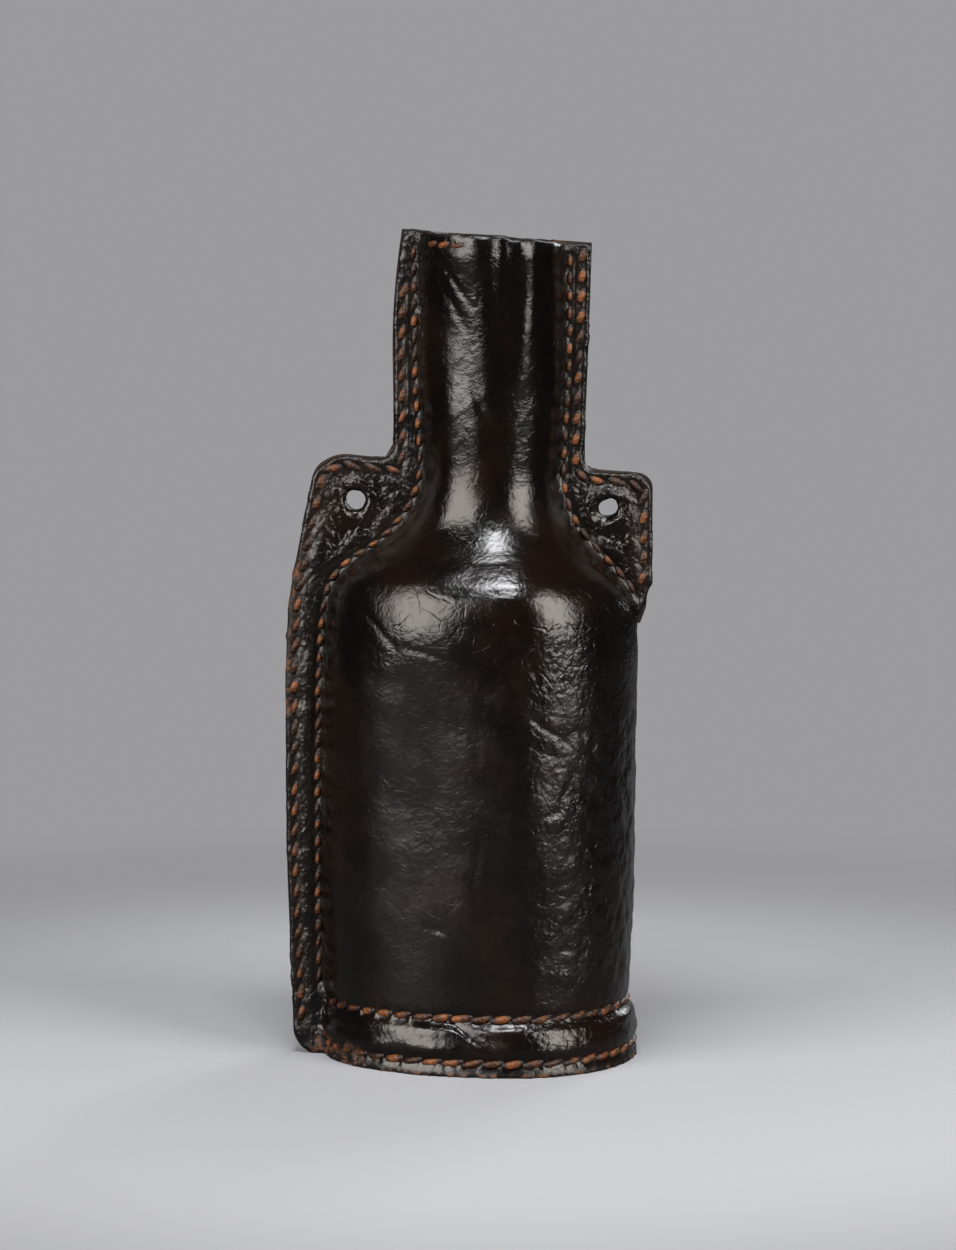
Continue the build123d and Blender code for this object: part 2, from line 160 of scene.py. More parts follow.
# Nodes
def fill(tree, node, sockets):
    """Sets a node's sockets, or links those that are given a socket."""
    for name, value in sockets.items():
        source = value.socket if isinstance(value, Value) else value
        if isinstance(source, bpy.types.NodeSocket):
            tree.links.new(source, node.inputs[name])
        else:
            node.inputs[name].default_value = source


def add_node(tree, kind, settings=None, sockets=None):
    """Adds a node of a type, with its settings and then the values or links of its sockets."""
    made = tree.nodes.new(kind)
    for name, value in (settings or {}).items():
        setattr(made, name, value)
    fill(tree, made, sockets or {})
    return made


class Value:
    """A socket of a shader tree, with number sums written as Python."""

    def __init__(self, paint, socket):
        self.paint = paint
        self.socket = socket

    def sum(self, operation, *others):
        sockets = dict(enumerate((self,) + others))
        return self.paint.node("ShaderNodeMath", {"operation": operation}, sockets)

    def __add__(self, other):
        return self.sum("ADD", other)

    def __sub__(self, other):
        return self.sum("SUBTRACT", other)

    def __mul__(self, other):
        return self.sum("MULTIPLY", other)

    def __rsub__(self, other):
        return self.paint.node("ShaderNodeMath", {"operation": "SUBTRACT"}, {0: other, 1: self})

    def distance(self, other):
        return (self - other).sum("ABSOLUTE")

    def above(self, low, high):
        """Runs smoothly from 0 at low to 1 at high."""
        sockets = {"Value": self, "From Min": low, "From Max": high}
        return self.paint.node("ShaderNodeMapRange", {"interpolation_type": "SMOOTHSTEP"}, sockets)

    __radd__ = __add__
    __rmul__ = __mul__


class Paint:
    """A new material and its shader tree."""

    def __init__(self, name):
        self.material = bpy.data.materials.new(name)
        self.material.use_nodes = True
        self.tree = self.material.node_tree
        self.shader = self.tree.nodes["Principled BSDF"]

    def node(self, kind, settings=None, sockets=None, output=0):
        return Value(self, add_node(self.tree, kind, settings, sockets).outputs[output])

    def place(self, stretch=(1, 1, 1), turn=(0, 0, 0)):
        spot = self.node("ShaderNodeTexCoord", output="Object")
        return self.node("ShaderNodeMapping", None, {"Vector": spot, "Scale": stretch, "Rotation": turn})

    def noise(self, where, scale, detail, rough):
        sockets = {"Vector": where, "Scale": scale, "Detail": detail, "Roughness": rough}
        return self.node("ShaderNodeTexNoise", None, sockets)

    def cells(self, where, scale, feature):
        return self.node("ShaderNodeTexVoronoi", {"feature": feature}, {"Vector": where, "Scale": scale})

    def attribute(self, name):
        return self.node("ShaderNodeAttribute", {"attribute_name": name}, output="Fac")

    def blend(self, first, second, share):
        """Mixes two colours by a share. A Mix node's colours are its inputs 6 and 7 and its output 2."""
        first, second = (part if isinstance(part, Value) else (*part, 1) for part in (first, second))
        return self.node("ShaderNodeMix", {"data_type": "RGBA"}, {0: share, 6: first, 7: second}, 2)

    def warped(self, where, scale, reach):
        """A place moved about by noise, by up to a reach in metres."""
        sockets = {"Vector": where, "Scale": scale, "Detail": 2.0}
        drift = self.node("ShaderNodeTexNoise", None, sockets, "Color")
        centred = self.node("ShaderNodeVectorMath", {"operation": "SUBTRACT"}, {0: drift, 1: (0.5, 0.5, 0.5)})
        moved = self.node("ShaderNodeVectorMath", {"operation": "SCALE"}, {0: centred, "Scale": reach})
        return self.node("ShaderNodeVectorMath", {"operation": "ADD"}, {0: where, 1: moved})

    def finish(self, colour, roughness, specular, height=None, tint=(1, 1, 1, 1)):
        """Fills the shader: its colour, roughness, specular level and tint, and a height in millimetres."""
        sockets = {"Base Color": colour, "Roughness": roughness}
        sockets.update({"Specular IOR Level": specular, "Specular Tint": tint})
        if height is not None:
            raised = {"Height": height, "Distance": MM, "Strength": 1.0}
            sockets["Normal"] = self.node("ShaderNodeBump", None, raised)
        fill(self.tree, self.shader, sockets)
        return self.material


# Materials
def leather(settings):
    """Boiled black leather: a hard gloss over fine grain, scaly ripples and patches of cracks."""
    paint = Paint("boiled_leather")
    spot = paint.place()
    rough_part = paint.attribute("rough")
    worn_part = paint.attribute("worn")
    pebbled = paint.attribute("pebbled")
    cracked = paint.attribute("cracked")
    creased = paint.attribute("creased")

    patches = paint.noise(spot, 38, 4, 0.6).above(0.42, 0.66)
    specks = paint.noise(spot, 420, 3, 0.7).above(0.55, 0.75)
    colour = paint.blend(settings.black, settings.brown, patches * 0.55 + specks * 0.35)
    scuffs = paint.noise(paint.warped(spot, 160, 0.006), 300, 4, 0.75).above(0.42, 0.62)
    bare = (worn_part * scuffs).above(0.18, 0.62)
    colour = paint.blend(colour, settings.worn, bare)

    grain = paint.noise(spot, 1500, 3, 0.65)
    crinkle = paint.noise(paint.warped(spot, 300, 0.003), 640, 4, 0.68)
    pebbles = paint.cells(paint.warped(spot, 300, 0.003), 660, "SMOOTH_F1")
    net = paint.cells(paint.warped(spot, 55, 0.022), 82, "DISTANCE_TO_EDGE")
    cracks = (1 - net.above(0.0, 0.035)) * paint.noise(spot, 42, 3, 0.6).above(0.50, 0.60)
    fine_net = paint.cells(paint.warped(spot, 170, 0.008), 300, "DISTANCE_TO_EDGE")
    fine_cracks = (1 - fine_net.above(0.0, 0.07)) * paint.noise(spot, 60, 3, 0.6).above(0.48, 0.64)
    slanted = paint.place(stretch=(1, 1, 2.6), turn=(0, math.radians(35), 0))
    wrinkles = paint.noise(paint.warped(slanted, 60, 0.01), 190, 3, 0.55)
    rim = paint.attribute("rim")
    rim_line = rim.above(0.16, 0.25) * (1 - rim.above(0.27, 0.38))
    roughed = paint.noise(spot, 620, 4, 0.8)
    # Heights of each layer, in millimetres
    height = (
        grain * 0.045
        + crinkle * (0.035 + pebbled * 0.15)
        - pebbles * pebbled * 0.40
        - cracks * cracked * 0.075
        - fine_cracks * cracked * 0.035
        + wrinkles * creased * 0.26
        - rim_line * 0.22
        + roughed * rough_part * 0.34
    )
    gloss_patches = paint.noise(spot, 75, 3, 0.6).above(0.35, 0.7)
    seam = paint.attribute("seam")
    dull = paint.attribute("dull")
    roughness = (
        0.13
        + gloss_patches * (0.06 + dull * 0.08)
        + dull * 0.02
        + pebbled * 0.03
        + rough_part * 0.3
        + bare * 0.25
        + seam * 0.28
    )
    return paint.finish(colour, roughness, 0.5, height, tint=(1, 0.94, 0.89, 1))


def cut_leather(settings):
    """The cut edges of the welts: brown-black, burnished, with the fibres' fine lines."""
    paint = Paint("cut_leather")
    fibres = paint.noise(paint.place(stretch=(1, 3, 1)), 700, 4, 0.7)
    patches = paint.noise(paint.place(), 90, 3, 0.6).above(0.45, 0.7)
    colour = paint.blend(settings.brown, settings.worn, patches * fibres * 0.8)
    return paint.finish(colour, 0.32 + fibres * 0.25, 0.5, fibres * 0.12)


def pan_leather(settings):
    """The base, whose flesh side is duller than the hide."""
    paint = Paint("base_leather")
    spot = paint.place()
    mottle = paint.noise(spot, 60, 4, 0.65).above(0.4, 0.7)
    grain = paint.noise(spot, 900, 4, 0.7)
    creases = paint.noise(paint.warped(spot, 80, 0.01), 170, 3, 0.6)
    colour = paint.blend(settings.black, settings.brown, mottle * 0.9 + grain * 0.2)
    return paint.finish(colour, 0.36 + mottle * 0.16, 0.5, grain * 0.08 + creases * 0.20)


def pitch(settings):
    """Hard black pitch, run smooth, with a few sags."""
    paint = Paint("black_pitch")
    spot = paint.place(stretch=(1, 1, 0.4))
    sags = paint.noise(spot, 120, 3, 0.5)
    dust = paint.noise(paint.place(), 500, 3, 0.6)
    colour = paint.blend(settings.black, settings.brown, sags * 0.4)
    return paint.finish(colour, 0.14 + dust * 0.18, 0.6, sags * 0.5)


def waxed_thread(settings):
    """Orange-brown thread, laid up in strands and darkened by grime, with painted shade at each bead's ends,
    along its sides and in the grooves between its strands.
    """
    paint = Paint("waxed_thread")
    spot = paint.place()
    where = paint.node("ShaderNodeAttribute", {"attribute_name": "lay"}, output="Vector")
    lay = paint.node("ShaderNodeMapping", None, {"Vector": where, "Rotation": (0, 0, math.radians(38))})
    strands = paint.node("ShaderNodeTexWave", {"bands_direction": "X", "wave_profile": "SIN"},
                         {"Vector": lay, "Scale": 1.5, "Distortion": 1.2, "Detail": 2.0, "Detail Scale": 2.0})
    fibres = paint.noise(spot, 1500, 3, 0.7)
    grime = paint.noise(spot, 210, 4, 0.7)
    along = paint.node("ShaderNodeSeparateXYZ", None, {"Vector": where}, "X")
    around = paint.node("ShaderNodeSeparateXYZ", None, {"Vector": where}, "Y")
    # Painted shade: each bead darkens towards its ends, where it dives into the leather, and towards its
    # sides.
    ends = along.distance(0.5).above(0.2, 0.42)
    sides = around.distance(0.25).above(0.13, 0.26)
    # A mask of grime, a random tone for each stitch, and the painted shade at the ends and sides.
    dirt_and_shade = (grime + paint.attribute("shade") * 0.22 + ends * 0.45 + sides * 0.2).above(0.58, 0.95)
    bright = paint.blend(settings.wax, (0.37, 0.142, 0.040), fibres.above(0.5, 0.75) * 0.6)
    # The grooves between the strands get painted shade as well.
    colour = paint.blend(bright, settings.dirt_and_shade_colour, dirt_and_shade * 0.92 + (1 - strands) * 0.14)
    return paint.finish(colour, 0.33 + fibres * 0.2, 0.35, strands * 0.08 + fibres * 0.14)


def floor_paint(settings):
    """A matt pale floor that runs out into the backdrop's colour, with painted shade that darkens it away
    from the bottle, and a painted darker reflection of it in the leather's gloss.
    """
    paint = Paint("studio_floor")
    spot = paint.place()
    mottle = paint.noise(spot, 3, 2, 0.5)
    away = paint.node("ShaderNodeVectorMath", {"operation": "LENGTH"}, {0: spot}, "Value")
    # Painted shade: the floor's colour darkens away from the bottle. Painted reflection: it is darker still
    # in glossy rays.
    painted_far_shade, in_gloss = (0.10, 0.10, 0.105), (0.05, 0.05, 0.053)
    colour = paint.blend(settings.floor, tuple(0.97 * part for part in settings.floor), mottle)
    mirrored = paint.node("ShaderNodeLightPath", None, None, "Is Glossy Ray")
    colour = paint.blend(colour, painted_far_shade, away.above(0.18, 0.5))
    colour = paint.blend(colour, in_gloss, mirrored * 0.92)
    paint.finish(colour, 0.6, 0.2)
    seen = paint.node("ShaderNodeLightPath", None, None, "Is Camera Ray")
    backdrop = paint.node("ShaderNodeEmission", None, {"Color": (*settings.backdrop, 1)})
    share = away.above(0.15, 0.46) * seen
    mix = paint.node("ShaderNodeMixShader", None, {0: share, 1: paint.shader.outputs[0], 2: backdrop})
    fill(paint.tree, paint.tree.nodes["Material Output"], {"Surface": mix})
    return paint.material


# Places of the stitches, read from the threads of the frame
class Bead:
    """One stitch as it shows on one face: the middle of its foot, its run, its way out and its length."""

    def __init__(self, spots, outward):
        middle = spots.mean(0)
        spread = spots - middle
        values, axes = np.linalg.eigh(spread.T @ spread)
        run = axes[:, int(np.argmax(values))]
        across = np.cross(run, outward)
        self.out = np.cross(across / np.linalg.norm(across), run)
        if self.out @ outward < 0:
            self.out = -self.out
        level = 0.2
        self.run = run if run[2] > level or (abs(run[2]) <= level and run[0] > 0) else -run
        reach = spread @ self.run
        self.length = reach.max() - reach.min()
        centre = middle + self.run * (reach.max() + reach.min()) / 2
        foot = ((spots - centre) @ self.out).min()
        self.spot = centre + self.out * foot


def plain_copy(node):
    """A merged copy of a frame node's mesh."""
    mesh = bmesh.new()
    mesh.from_mesh(frame["nodes"][node].data)
    bmesh.ops.remove_doubles(mesh, verts=mesh.verts, dist=MERGE)
    return mesh


def islands(name):
    """The separate solids of a frame node, each as an array of its corners."""
    mesh = plain_copy(name)
    left = set(mesh.verts)
    found = []
    while left:
        group = []
        queue = [min(left, key=lambda vert: vert.index)]
        left.discard(queue[0])
        while queue:
            vert = queue.pop()
            group.append(tuple(vert.co))
            for edge in vert.link_edges:
                other = edge.other_vert(vert)
                if other in left:
                    left.discard(other)
                    queue.append(other)
        found.append(np.array(group))
    mesh.free()
    return found


def beads_of(name):
    """Every bead of a thread: those on the outer face, then those on the inner or back face."""
    outer, inner = [], []
    for spots in islands(name):
        if name in FLANGE_THREADS:
            ways = ((outer, np.array((0.0, -1.0, 0.0))), (inner, np.array((0.0, 1.0, 0.0))))
        else:
            middle_x = neck_x if name == MOUTH_THREAD else (base_high.x + base_low.x) / 2
            way = spots.mean(0) - np.array((middle_x, 0, 0))
            way[2] = 0
            way = way / np.linalg.norm(way)
            ways = ((outer, way), (inner, -way)) if name in FOOT_THREADS else ((outer, way),)
        for found, way in ways:
            depth = spots @ way
            found.append(Bead(spots[depth > depth.max() - BEAD_RISE], way))
    return outer, inner


# The hide
def add_block(mesh, centre, along, out, size):
    """A block that fills the awl holes under a stitch, inside the leather."""
    side = Vector(along).cross(Vector(out))
    turn = Matrix((along, side, out)).transposed().to_4x4()
    place = Matrix.Translation(centre) @ turn @ Matrix.Diagonal((*size, 1))
    bmesh.ops.create_cube(mesh, size=1.0, matrix=place)


def worked_mesh(mesh, voxel):
    """The mesh remade in even steps."""
    data = bpy.data.meshes.new("working")
    mesh.to_mesh(data)
    mesh.free()
    piece = bpy.data.objects.new("working", data)
    bpy.context.scene.collection.objects.link(piece)
    remesh = piece.modifiers.new("remesh", "REMESH")
    remesh.mode = "VOXEL"
    remesh.voxel_size = voxel
    graph = bpy.context.evaluated_depsgraph_get()
    made = bpy.data.meshes.new_from_object(piece.evaluated_get(graph))
    bpy.data.objects.remove(piece)
    bpy.data.meshes.remove(data)
    return made


def corners(mesh):
    spots = np.empty(len(mesh.vertices) * 3)
    mesh.vertices.foreach_get("co", spots)
    return spots.reshape(-1, 3)


def normals(mesh):
    out = np.empty(len(mesh.vertices) * 3)
    mesh.vertex_normals.foreach_get("vector", out)
    return out.reshape(-1, 3)


def move_corners(mesh, spots):
    mesh.vertices.foreach_set("co", spots.ravel())
    mesh.update()


def smoothed(mesh, weight, rounds):
    """Corners drawn towards the mean of their neighbours, by a weight."""
    spots = corners(mesh)
    pairs = np.empty(len(mesh.edges) * 2, dtype=np.int64)
    mesh.edges.foreach_get("vertices", pairs)
    pairs = pairs.reshape(-1, 2)
    count = np.bincount(pairs.ravel(), minlength=len(spots))[:, None]
    for _ in range(rounds):
        total = np.zeros_like(spots)
        for axis in range(3):
            total[:, axis] = (
                np.bincount(pairs[:, 0], spots[pairs[:, 1], axis], len(spots))
                + np.bincount(pairs[:, 1], spots[pairs[:, 0], axis], len(spots))
            )
        spots = spots + (total / count - spots) * weight[:, None]
    return spots


def nearest(spots, targets):
    """Each spot's distance to the nearest target."""
    tree = KDTree(len(targets))
    for index, target in enumerate(targets):
        tree.insert(target, index)
    tree.balance()
    return np.array([tree.find(spot)[2] for spot in spots])


def hump(distance, width):
    """1 at no distance, and falls off over a width."""
    return np.exp(-(distance / width) ** 2)


def steps(value, low, high):
    """Runs smoothly from 0 at low to 1 at high."""
    share = np.clip((value - low) / (high - low), 0, 1)
    return share * share * (3 - 2 * share)


def noise_at(spots, scale, seed, octaves=3):
    shift = Vector((seed * 3.17, seed * 1.73, seed * 2.39))
    return np.array([noise.fractal(Vector(spot) * scale + shift, 1.0, 2.0, octaves) for spot in spots])


def crease(spots, start, end, width, depth):
    """A fold of the front along a line, as a height at each spot. Points are (x, z), all in millimetres."""
    flat = spots[:, (0, 2)] / MM
    first, last = np.array(start), np.array(end)
    run = last - first
    share = np.clip(((flat - first) @ run) / (run @ run), 0, 1)
    gap = np.linalg.norm(flat - first - share[:, None] * run, axis=1)
    fade = np.sin(np.pi * np.clip(share, 0.02, 0.98)) ** 0.5
    return -depth * MM * hump(gap, width) * fade * (spots[:, 1] < 0)


CREASES = (
    # Folds of the neck, foot and lugs: from, to, half width, depth, in millimetres, as seen from the front
    ((-11.0, 238.0), (3.4, 217.5), 0.65, 0.32),
    ((-9.6, 230.0), (-0.6, 216.0), 0.6, 0.26),
    ((-6.5, 223.5), (0.4, 212.0), 0.6, 0.2),
    ((9.6, 241.0), (8.6, 206.0), 2.4, 0.7),
    ((18.6, 246.0), (15.6, 199.0), 2.6, -0.6),
    ((0.0, 200.0), (6.0, 186.0), 1.4, 0.3),
    ((-5.6, 15.6), (9.5, 6.0), 0.9, 1.0),
    ((-1.0, 13.8), (10.5, 9.6), 0.75, 0.65),
    ((-11.0, 15.6), (-2.0, 14.6), 0.7, 0.4),
    ((-46.0, 141.0), (-20.0, 160.5), 0.7, 0.4),
    ((-44.0, 138.5), (-19.0, 157.5), 0.6, 0.3),
    ((14.5, 131.0), (11.5, 122.0), 0.7, 0.35),
    # Long cracks of the body
    ((-35.0, 139.0), (-19.0, 121.0), 0.7, 0.24),
    ((-21.5, 124.5), (-5.5, 120.5), 0.6, 0.2),
    ((11.8, 137.0), (16.5, 127.0), 0.7, 0.28),
    ((16.0, 128.0), (20.0, 113.0), 0.6, 0.2),
    ((16.5, 105.0), (28.0, 96.0), 1.0, 0.4),
    ((18.0, 95.0), (30.0, 91.0), 0.8, 0.3),
    ((3.6, 68.0), (0.9, 53.5), 0.6, 0.22),
    ((-14.0, 43.5), (-4.0, 41.0), 0.6, 0.22),
)

SWELLS = (
    # Shallow swells and dents of the front: middle (x, z), half width, half height, height, in millimetres
    (-14.0, 90.0, 15.0, 22.0, -1.2),
    (16.0, 72.0, 14.0, 24.0, 1.2),
    (-13.0, 128.0, 17.0, 9.0, 0.6),
    (17.0, 127.0, 14.0, 9.0, 0.3),
    (4.5, 229.0, 8.0, 22.0, 1.0),
    (-1.0, 208.0, 7.0, 14.0, -0.5),
)

# Heights on the neck, and how far the worked neck stands out there from the plain one, in millimetres:
# on the whole, and at the right of the front
NECK_HEIGHTS = (158.0, 173.0, 180.0, 200.0, 217.0, 243.0)
NECK_SHAPE = (0.0, 0.6, 0.95, -0.5, -0.95, -1.2)
NECK_RIGHT = (0.0, 0.6, 0.95, 0.5, 0.75, 0.9)


class Hide:
    """The sewn hide's mesh in even steps, with its stitches' places and the parts of its surface."""

    def __init__(self, settings, rows):
        self.settings = settings
        self.rows = rows
        mesh = plain_copy("body_hide")
        past_ends, block_width, under_skin = 2.6 * MM, 2.4 * MM, 0.6 * MM
        for outer, inner in rows.values():
            for bead in outer + inner:
                centre = Vector(bead.spot - bead.out * HIDE_WALL / 2)
                size = (bead.length + past_ends, block_width, HIDE_WALL - under_skin)
                add_block(mesh, centre, Vector(bead.run), Vector(bead.out), size)
        self.mesh = thinned(worked_mesh(mesh, settings.voxel))
        self.hidden = group_weights(self.mesh)
        self.read()
        self.threads()

    def read(self):
        self.spots = corners(self.mesh)
        self.outward = normals(self.mesh)
        self.x, self.y, self.z = self.spots.T

    def shown(self):
        """1 where the hide shows, 0 where its mesh is thinned."""
        return 1 - steps(self.hidden, *HIDDEN_BAND)

    def threads(self):
        """Distances to the rows of stitches, to their awl holes and to the cut edges of the flanges."""
        flanges, foot, lying, ends = [], [], [], []
        line_shares = (-0.4, -0.25, -0.1, 0.1, 0.25, 0.4)
        for name, (outer, inner) in self.rows.items():
            for bead in outer + (inner if name in FLANGE_THREADS else []):
                line = [bead.spot + bead.run * bead.length * share for share in line_shares]
                (flanges if name in FLANGE_THREADS else foot).extend(line)
                lying.extend(line[1:-1])
                ends.extend((line[0], line[-1]))
        self.to_flange_row = nearest(self.spots, flanges)
        self.to_row = np.minimum(self.to_flange_row, nearest(self.spots, foot))
        self.to_bead = nearest(self.spots, lying)
        self.to_hole = nearest(self.spots, ends)
        beside = (np.abs(self.outward[:, 1]) < 0.55) & (self.to_flange_row < 9 * MM) & (self.hidden < 0.5)
        self.to_edge = nearest(self.spots, self.spots[beside & (np.abs(self.y) < seam_half - 1.3 * MM)])
        self.flange = steps(self.to_flange_row, 11 * MM, 6 * MM) * steps(np.abs(self.y), 8.5 * MM, 6.5 * MM)

    def soften(self):
        """Takes the steps of the mesh off, and rounds the hollow where the bulge leaves the flange."""
        all_over = np.ones(len(self.spots))
        drawn = smoothed(self.mesh, all_over * 0.6, 10)
        hollow = steps(((drawn - self.spots) * self.outward).sum(1), 0.06 * MM, 0.3 * MM)
        hollow *= steps(self.to_hole, 0.5 * MM, 2.0 * MM) * steps(self.z, 18 * MM, 26 * MM)
        move_corners(self.mesh, smoothed(self.mesh, 0.12 + 0.55 * hollow, 14))
        self.read()
        away = steps(self.to_row, 2 * MM, 13 * MM) * self.shown()
        outside = (self.x - neck_x) * self.outward[:, 0] + self.y * self.outward[:, 1] > 0
        right = steps(self.x, 9 * MM, 15 * MM) * (self.y < 0)
        shaped = (1 - right) * np.interp(self.z / MM, NECK_HEIGHTS, NECK_SHAPE)
        shaped = (shaped + right * np.interp(self.z / MM, NECK_HEIGHTS, NECK_RIGHT)) * MM * away * outside
        move_corners(self.mesh, self.spots + self.outward * (1, 1, 0) * shaped[:, None])
        bend = steps(self.z, 150 * MM, 165 * MM) * steps(self.z, 236 * MM, 225 * MM)
        bend += 0.7 * hump(self.z - 124 * MM, 8 * MM)
        move_corners(self.mesh, smoothed(self.mesh, 0.6 * np.clip(bend, 0, 1) * away, 160))
        self.read()

    def relief(self):
        """Height of the worked leather over the plain form, in metres."""
        swell = self.settings.swell
        seed = self.settings.seed
        broad = noise_at(self.spots, 1 / (34 * MM), seed, 2)
        middling = noise_at(self.spots, 1 / (13 * MM), seed + 1, 3)
        small = noise_at(self.spots, 1 / (5 * MM), seed + 2, 3)
        calm = 1 - 0.5 * self.flange
        calm *= 1 - 0.5 * steps(self.z, 165 * MM, 175 * MM)
        height = swell * calm * (broad + 0.3 * middling) + (0.05 + 0.5 * self.flange) * MM * small
        flank = steps(self.x, 8 * MM, 30 * MM) * steps(self.z, 116 * MM, 96 * MM)
        flank *= steps(self.z, 18 * MM, 30 * MM)
        height += 0.38 * MM * flank * (1 - self.flange) * small

        at_mouth = steps(self.z, 230 * MM, 236 * MM) * (1 - self.flange)
        groove = self.settings.groove * (1 - 0.65 * at_mouth)
        height -= groove * hump(self.to_bead, 1.35 * MM) + 0.3 * groove * hump(self.to_row, 2.4 * MM)
        height -= 0.9 * groove * hump(self.to_hole, 0.85 * MM)
        sewn = np.clip(self.flange + hump(self.z - 10 * MM, 8 * MM), 0, 1)
        height += hump(self.to_row - 3.6 * MM, 1.5 * MM) * MM * (0.28 + 0.3 * middling) * sewn

        for x, z, width, tall, rise in SWELLS:
            gap = np.hypot((self.x / MM - x) / width, (self.z / MM - z) / tall)
            height += rise * MM * hump(gap, 1) * (self.y < 0) * (1 - self.flange)
        for start, end, width, depth in CREASES:
            height += crease(self.spots, start, end, width, depth)
        lines = noise_at(self.spots * (1.0, 1.0, 1.9), 1 / (17 * MM), seed + 3, 2)
        where = steps(noise_at(self.spots, 1 / (40 * MM), seed + 4, 2), -0.1, 0.5)
        height -= 0.10 * MM * hump(lines, 0.035) * where * calm
        squeeze = 2.2
        tilted = self.spots @ np.array(((0.8, 0, 0.6), (0, 1, 0), (-0.6 * squeeze, 0, 0.8 * squeeze))).T
        folds = noise_at(tilted, 1 / (15 * MM), seed + 5, 2)
        neck = steps(self.z, 168 * MM, 186 * MM) * steps(self.z, 242 * MM, 232 * MM) * (1 - self.flange)
        height += 0.12 * MM * folds * neck - 0.10 * MM * hump(folds, 0.05) * neck

        for hole in cord_holes:
            centre = np.array((hole["pos_m"][0], hole["pos_m"][2]))
            away = np.linalg.norm(self.spots[:, (0, 2)] - centre, axis=1)
            height -= 0.6 * MM * hump(away - 8.2 * MM, 2.0 * MM) * self.flange
            height += (0.15 + 0.8 * small + 0.6 * middling) * MM * hump(away - 4.3 * MM, 1.3 * MM)
        return height * self.shown()

    def work(self):
        """Gives the hide its relief, its ragged edges and its uneven mouth, inside the plain hide's box."""
        self.soften()
        spots = self.spots + self.outward * self.relief()[:, None]
        ragged = hump(self.to_edge, 1.4 * MM) * self.shown()
        bite = 0.35 + 0.65 * noise_at(self.spots, 1 / (7 * MM), self.settings.seed + 6, 3)
        flat_out = self.outward * (1, 0, 1)
        spots -= flat_out * (ragged * np.clip(bite, 0, 1) * 0.55 * MM)[:, None]
        top = steps(self.z, 233 * MM, 240 * MM)
        ends = self.x[self.z > 236 * MM]
        rounding = hump(self.x - ends.min(), 1.8 * MM) + hump(self.x - ends.max(), 1.5 * MM)
        wave = 0.2 + 0.35 * noise_at(self.spots * (1, 1, 0), 1 / (9 * MM), self.settings.seed + 8, 2)
        spots[:, 2] -= top * (np.clip(wave, 0, 1) + 0.4 * rounding) * MM
        spots = np.clip(spots, np.array(hide_low), np.array(hide_high))
        move_corners(self.mesh, spots)

    def marks(self):
        """Numbers from 0 to 1 at each corner: how worn, rough, dull, pebbled, cracked and creased it is."""
        x, z = self.x / MM, self.z / MM
        at_edge = hump(self.to_edge, 1.5 * MM)
        left = x < -20
        fray = left * (0.25 + steps(z, 100, 118) * steps(z, 158, 146) + 1.3 * steps(z, 14, 4))
        worn = at_edge * (0.3 + fray) * steps(np.abs(self.y), seam_half + 1.4 * MM, seam_half + 0.5 * MM)
        side = steps(z, 88, 108) * steps(z, 160, 146) * steps(x, -38, -42)
        worn = np.maximum(worn, 0.85 * side * steps(self.to_edge, 4.5 * MM, 1.5 * MM))
        worn = np.maximum(worn, hump(np.hypot((x + 40) / 2.2, z - 2), 5) * 0.95)
        worn = np.maximum(worn, 0.62 * steps(z, 2.6, 0.4))
        cut_top = steps(self.outward[:, 2], 0.5, 0.8) * steps(z, 232, 236)
        worn = np.maximum(worn, 0.35 * cut_top)
        strips = self.flange * steps(self.to_row, 1.2 * MM, 2.6 * MM)
        right_body = steps(x, 8, 22) * steps(z, 134, 122)
        corner = hump(np.hypot(x + 15.5, z - 236), 8)
        pebbled = np.clip(1.1 * strips + 0.35 * right_body + corner + 0.15, 0, 1)
        shoulder = hump(z - 131, 12)
        foot = steps(z, 22, 15)
        cracked = np.clip(0.35 + 0.7 * shoulder + 0.35 * right_body - 0.2 * foot, 0, 1) * (1 - 0.5 * strips)
        creased = hump(np.hypot((x - 3.5) / 9, (z - 225) / 17), 1)
        creased += 0.5 * hump(np.hypot((x - 16) / 8, (z - 178) / 16), 1)
        creased = np.clip(creased * np.where(self.y < 0, 1, 0.6) * (1 - self.flange), 0, 1)
        rough = np.clip(worn * 1.1 + hump(self.to_hole, 0.9 * MM) * 0.3 + 0.6 * cut_top, 0, 1)
        self.put("worn", np.clip(worn, 0, 1))
        self.put("rough", rough)
        self.put("dull", steps(z, 124, 108) * steps(z, 20, 26) * (1 - self.flange))
        self.put("seam", steps(self.to_flange_row, 5.5 * MM, 2.5 * MM) * (1 - self.flange * 0.6))
        self.put("pebbled", pebbled)
        self.put("cracked", cracked)
        self.put("creased", creased)
        self.put("rim", np.clip(self.to_edge / (4 * MM), 0, 1))

    def put(self, name, values):
        layer = self.mesh.attributes.new(name, "FLOAT", "POINT")
        layer.data.foreach_set("value", values.astype(np.float32))


def enclosed(tree, spot):
    """Whether the mesh stands round a spot on all four sides."""
    ways = ((1, 0, 0), (-1, 0, 0), (0, 1, 0), (0, -1, 0))
    return all(tree.ray_cast(spot, Vector(way))[0] is not None for way in ways)


